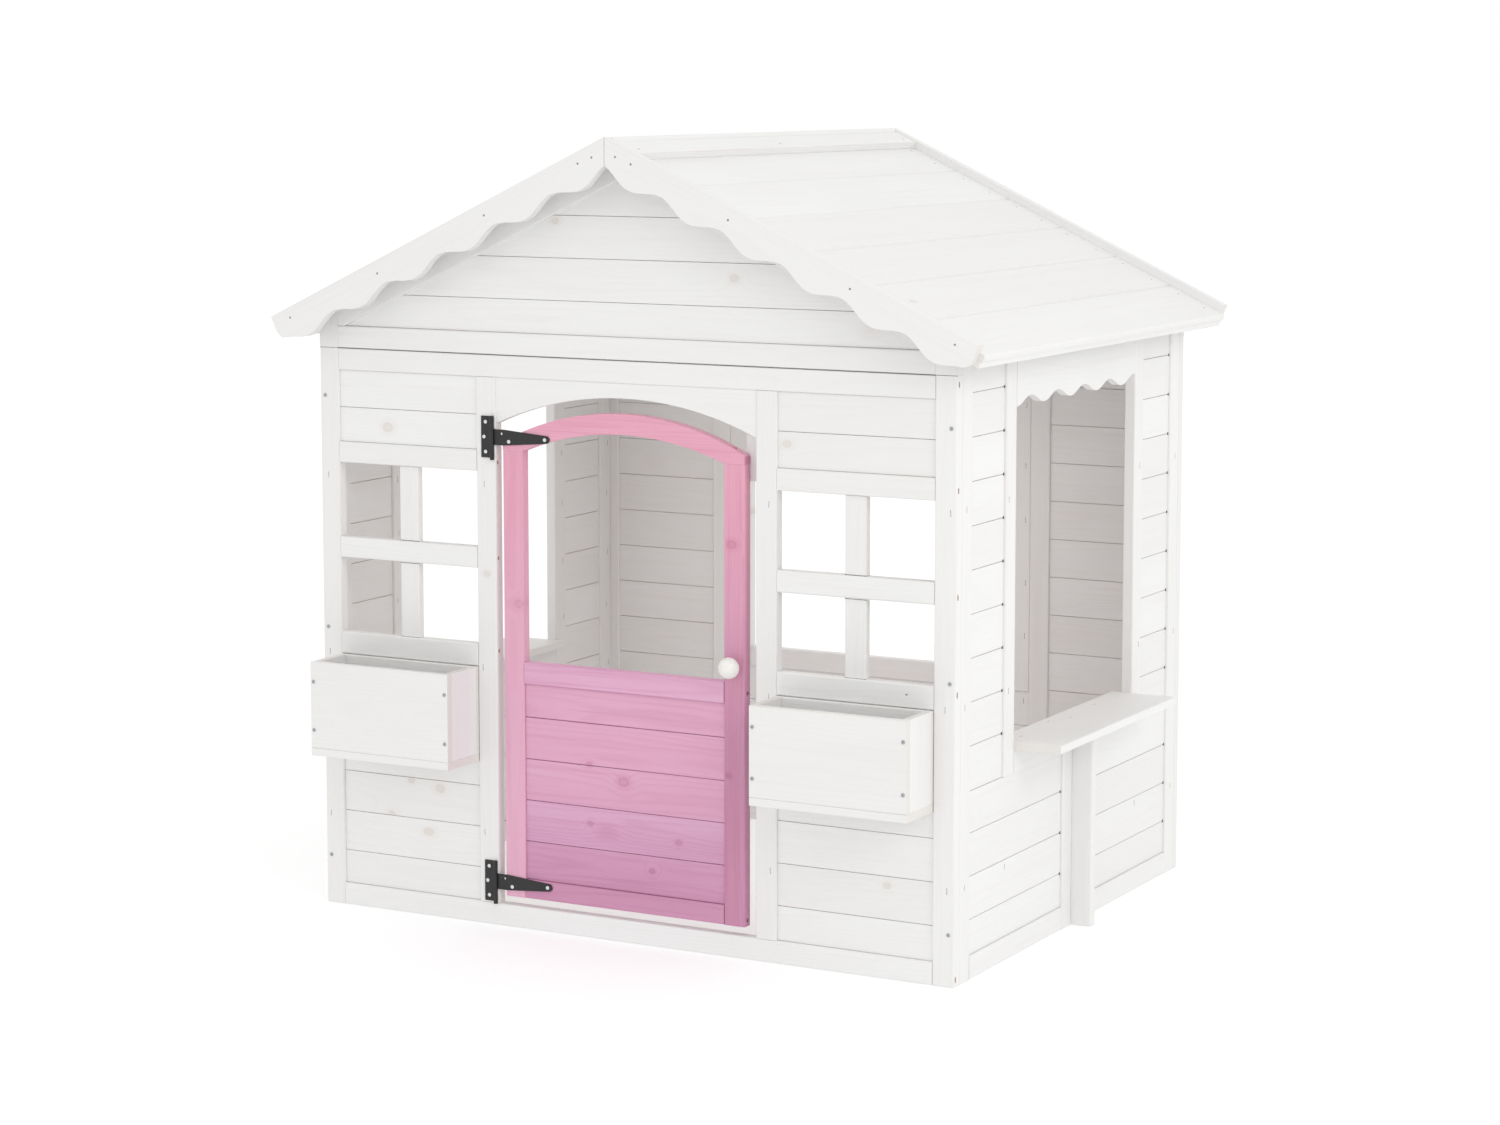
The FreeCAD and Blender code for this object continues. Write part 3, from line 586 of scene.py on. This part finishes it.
def addNail(shape, skin, place, out, radius=fasteners["nailRadius"], stretch=1.0):
    # a small domed head, or an oval spot when it is stretched
    hit = strike(skin, place, out)
    if hit is None:
        return
    side = out.orthogonal().normalized() if abs(out.z) > 0.5 else out.cross(zAxis)
    along = out.cross(side) * stretch
    count = fasteners["nailSides"]
    angles = [2 * math.pi * k / count for k in range(count)]
    rings = []
    for share, lift in fasteners["nailRings"]:
        rings.append([shape.verts.new(hit + out * lift
                                      + (along * math.cos(a) + side * math.sin(a)) * radius * share)
                      for a in angles])
    for first, second in zip(rings, rings[1:]):
        for k in range(count):
            shape.faces.new((first[k], first[(k + 1) % count], second[(k + 1) % count], second[k]))
    shape.faces.new(rings[-1])
    shape.faces.new(rings[0][::-1])


def fastenerPaint(name, look):
    # a base that the wash half covers
    paint = Paint(name)
    place = paint.add("ShaderNodeTexCoord", None, None, "Object")
    cover = paint.noise(place, 400.0, 3.0, 0.6)
    tone = paint.mix(paint.fade(cover, 0.35, 0.65), look["base"], look["covered"])
    return paint.finish({"Base Color": tone, "Roughness": look["roughness"] + (cover - 0.5) * 0.3,
                         "Normal": paint.bump(cover, 0.2, 0.0002)})


def fastenerPiece(title, shape, paint):
    bmesh.ops.recalc_face_normals(shape, faces=shape.faces)
    data = bpy.data.meshes.new(title)
    shape.to_mesh(data)
    shape.free()
    data.materials.append(paint)
    piece = bpy.data.objects.new(title, data)
    scene.collection.objects.link(piece)
    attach(piece, "house")
    print(title, "has", len(data.polygons), "faces")


def makeStaples(look):
    shape = bmesh.new()
    dice = random.Random(41)
    sides = ("right", "left")
    skin = surfaceOf([name for name in nodes if not name.startswith(("door_", "hinge", "plate", "knob"))])
    stray = fasteners["stray"]

    def drive(x, y, z, along, out):
        loose = Vector([dice.uniform(-stray, stray) for k in range(3)])
        loose -= out * loose.dot(out)
        turn = (along + along.cross(out) * dice.uniform(-0.12, 0.12)).normalized()
        addStaple(shape, skin, Vector((x, y, z)) + loose, turn, out)

    for side in sides:
        sign = 1 if side == "right" else -1
        low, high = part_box(side + "_counter")
        inner = low.x if sign > 0 else high.x
        for share, inset in fasteners["counter"]:
            drive(inner + sign * inset, low.y + (high.y - low.y) * share, high.z, yAxis, zAxis)
        # stiles and jambs, inside and out
        low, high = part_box(side + "_frame")
        jambLow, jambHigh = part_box(side + "_jambs")
        stile, jamb = fasteners["stileInset"], fasteners["jambInset"]
        for x, out in ((low.x, -xAxis), (high.x, xAxis)):
            for z in fasteners["outside" if out.x * sign > 0 else "inside"]:
                drive(x, low.y + stile, z, zAxis, out)
                drive(x, high.y - stile, z, zAxis, out)
                drive(x, jambLow.y + jamb, z, zAxis, out)
                drive(x, jambHigh.y - jamb, z, zAxis, out)
    # front and rear walls, inside and out
    for names, outward in ((("front_posts", "front_jambs"), -1), (("rear_posts", "rear_window_frame"), 1)):
        postLow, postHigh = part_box(names[0])
        low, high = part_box(names[1])
        for y, out in ((postLow.y, -yAxis), (postHigh.y, yAxis)):
            for z in fasteners["outside" if out.y * outward > 0 else "inside"]:
                drive(low.x + fasteners["jambInset"], y, z, zAxis, out)
                drive(high.x - fasteners["jambInset"], y, z, zAxis, out)
                for x in (postLow.x, postHigh.x):
                    drive(x - math.copysign(fasteners["stileInset"], x), y, z, zAxis, out)
    fastenerPiece("wallStaples", shape, fastenerPaint("washedWire", look))


def makeNails(look):
    shape = bmesh.new()
    dice = random.Random(7)
    pitch = math.radians(timber["roofPitch"])
    barges = surfaceOf([name for name in nodes if name.endswith("bargeboard")])
    roof = surfaceOf(["right_roof_boards", "left_roof_boards", "ridge_caps"])
    capLow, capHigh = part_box("ridge_caps")
    boardLow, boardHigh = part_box("right_roof_boards")
    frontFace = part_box("front_right_bargeboard")[0].y
    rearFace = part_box("rear_right_bargeboard")[1].y
    top = Vector((0, 0, capHigh.z))
    for sign in (1, -1):
        down = Vector((sign * math.cos(pitch), 0, -math.sin(pitch)))
        up = Vector((sign * math.sin(pitch), 0, math.cos(pitch)))
        for face, out in ((frontFace, -yAxis), (rearFace, yAxis)):
            for reach, lift in fasteners["bargeNails"]:
                at = top + down * (reach + dice.uniform(-0.003, 0.003)) + up * lift
                addNail(shape, barges, Vector((at.x, face, at.z)), out)
        for row in range(12):
            # two to each board's end
            reach = fasteners["roofEave"] - fasteners["roofBoard"] * (row / 2 + 0.25)
            for y in (boardLow.y + fasteners["roofInset"], boardHigh.y - fasteners["roofInset"]):
                at = top + down * (reach + dice.uniform(-0.004, 0.004))
                addNail(shape, roof, Vector((at.x, y + dice.uniform(-0.003, 0.003), at.z)), up)
        for y in (capLow.y + fasteners["roofInset"], (capLow.y + capHigh.y) / 2,
                  capHigh.y - fasteners["roofInset"]):
            at = top + down * fasteners["capNail"]
            addNail(shape, roof, Vector((at.x, y, at.z)), up)
    fastenerPiece("roofNails", shape, fastenerPaint("nailSteel", look))


def makeSpots(look):
    # raw wood where the wash missed: a corner's edge, and the hinge side's jamb
    shape = bmesh.new()
    posts = surfaceOf(["front_posts", "front_jambs", "window_rails"])
    postLow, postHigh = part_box("front_posts")
    for x, out in ((postLow.x, -xAxis), (postHigh.x, xAxis)):
        for z in look["cornerHeights"]:
            addNail(shape, posts, Vector((x, postLow.y + look["inset"], z)), out, look["radius"], 2.2)
    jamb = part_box("door_header")[0].x
    for z in look["jambHeights"]:
        addNail(shape, posts, Vector((jamb, postLow.y + look["inset"], z)), xAxis, look["radius"], 1.5)
    x, z = look["sill"]
    addNail(shape, posts, Vector((x, postLow.y, z)), -yAxis, look["radius"], 0.6)
    fastenerPiece("bareSpots", shape, fastenerPaint("bareTimber", look))


def isCorner(places, y, z):
    return np.any(np.max(np.abs(places - (y, z)), axis=1) < timber["snap"])


def makeJointShade(look):
    # near-black plates of painted shade where open joints would show only shade: the pockets at the side
    # boards' ends, under the gables, and round the muntins
    shape = bmesh.new()
    thick, back = look["high"] / 2, look["back"]
    for side, out in (("right_boards", xAxis), ("left_boards", -xAxis)):
        face = max(abs(corner.x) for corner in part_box(side))
        length, height = look["pocket"]
        corners = sorted({(v.co.y, v.co.z) for v in nodes[side].data.vertices})
        places = np.array(corners)

        done = []
        for y, z in corners:
            # a pocket starts where two more corners lie as its size says
            spot = (round(y, 4), round(z, 4))
            if isCorner(places, y - length, z) and isCorner(places, y, z + height) and spot not in done:
                done.append(spot)
                wide, tall = look["mark"][0] / 2, look["mark"][1] / 2
                middle = Vector((out.x * face, y - wide, z + height / 2))
                addBar(shape, middle, zAxis, yAxis, out,
                       [(-tall, wide, look["proud"], -back), (tall, wide, look["proud"], -back)])
        print(side, "has", len(done), "pockets")
    for post, out in (("front_posts", -yAxis), ("rear_posts", yAxis)):
        low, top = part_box(post)
        y = low.y if out.y < 0 else top.y
        addBar(shape, Vector((0, y, top.z)), xAxis, zAxis, out,
               [(low.x, thick, look["proud"], -back), (top.x, thick, look["proud"], -back)])
    low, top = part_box("window_muntins")
    half = look["muntin"] / 2
    for x in (low.x + half, top.x - half):
        for z in look["muntinEnds"]:
            addBar(shape, Vector((x, low.y, z)), xAxis, zAxis, -yAxis,
                   [(-half, thick, look["proud"], -back), (half, thick, look["proud"], -back)])
    fastenerPiece("openJoints", shape, fastenerPaint("shadedTimber", look))


washedWire = {"base": colour(0.17, 0.155, 0.145), "covered": colour(0.40, 0.38, 0.36), "roughness": 0.5}
nailSteel = {"base": colour(0.13, 0.12, 0.11), "covered": colour(0.38, 0.36, 0.34), "roughness": 0.45}
bareTimber = {
    "base": colour(0.20, 0.125, 0.08), "covered": colour(0.47, 0.36, 0.28), "roughness": 0.6,
    "cornerHeights": (0.012, 0.466, 0.620, 0.787, 0.952), "jambHeights": (0.468, 0.625, 0.786),
    "inset": 0.006, "radius": 0.0024, "sill": (0.515, 0.461),
}
# painted shade: these near-black plates stand in for the shade inside the open joints
shadedTimber = {
    "base": colour(0.03, 0.027, 0.025), "covered": colour(0.11, 0.10, 0.09), "roughness": 0.8,
    "high": 0.0009, "back": 0.0004, "proud": 0.00012,
    "pocket": (0.0032, 0.0030), "mark": (0.0054, 0.0046),
    "muntin": 0.038, "muntinEnds": (0.4782, 0.6048, 0.6432, 0.7698),
}
makeStaples(washedWire)
makeNails(nailSteel)
makeSpots(bareTimber)
makeJointShade(shadedTimber)
print("staples, nails, spots and joints made")


def floorPaint(look):
    paint = Paint("studioFloor")
    place = paint.add("ShaderNodeTexCoord", None, None, "Object")
    drift = paint.noise(place, 0.7, 2.0, 0.5)
    low = [part * 0.985 for part in look]
    tone = paint.mix(drift, colour(*look), colour(*low))
    return paint.finish({"Base Color": tone, "Roughness": 0.9, "Specular IOR Level": 0.1,
                         "Emission Color": colour(1.0, 1.0, 1.0), "Emission Strength": studio["floorLift"]})


def makeFloor():
    shape = bmesh.new()
    bmesh.ops.create_circle(shape, cap_ends=True, segments=96, radius=studio["floorRadius"])
    data = bpy.data.meshes.new("studioFloor")
    shape.to_mesh(data)
    shape.free()
    floor = bpy.data.objects.new("studioFloor", data)
    floor.location = (0.0, 0.0, cadLow.z - 0.0005)
    data.materials.append(floorPaint(studio["floorColour"]))
    scene.collection.objects.link(floor)


def makeLamps():
    middle = (cadLow + cadHigh) / 2
    for index, (place, size, watts, tint) in enumerate(studio["lamps"]):
        data = bpy.data.lights.new("softbox%d" % index, "AREA")
        data.shape = "DISK"
        data.size = size
        data.energy = watts
        data.color = tint
        lamp = bpy.data.objects.new("softbox%d" % index, data)
        lamp.location = place
        lamp.visible_camera = False
        lamp.rotation_euler = (middle - Vector(place)).to_track_quat("-Z", "Y").to_euler()
        scene.collection.objects.link(lamp)
    sky = bpy.data.worlds.new("studioSky")
    sky.use_nodes = True
    backdrop = sky.node_tree.nodes["Background"]
    backdrop.inputs["Color"].default_value = studio["skyColour"]
    backdrop.inputs["Strength"].default_value = studio["skyStrength"]
    scene.world = sky


makeFloor()
makeLamps()
print("studio set")
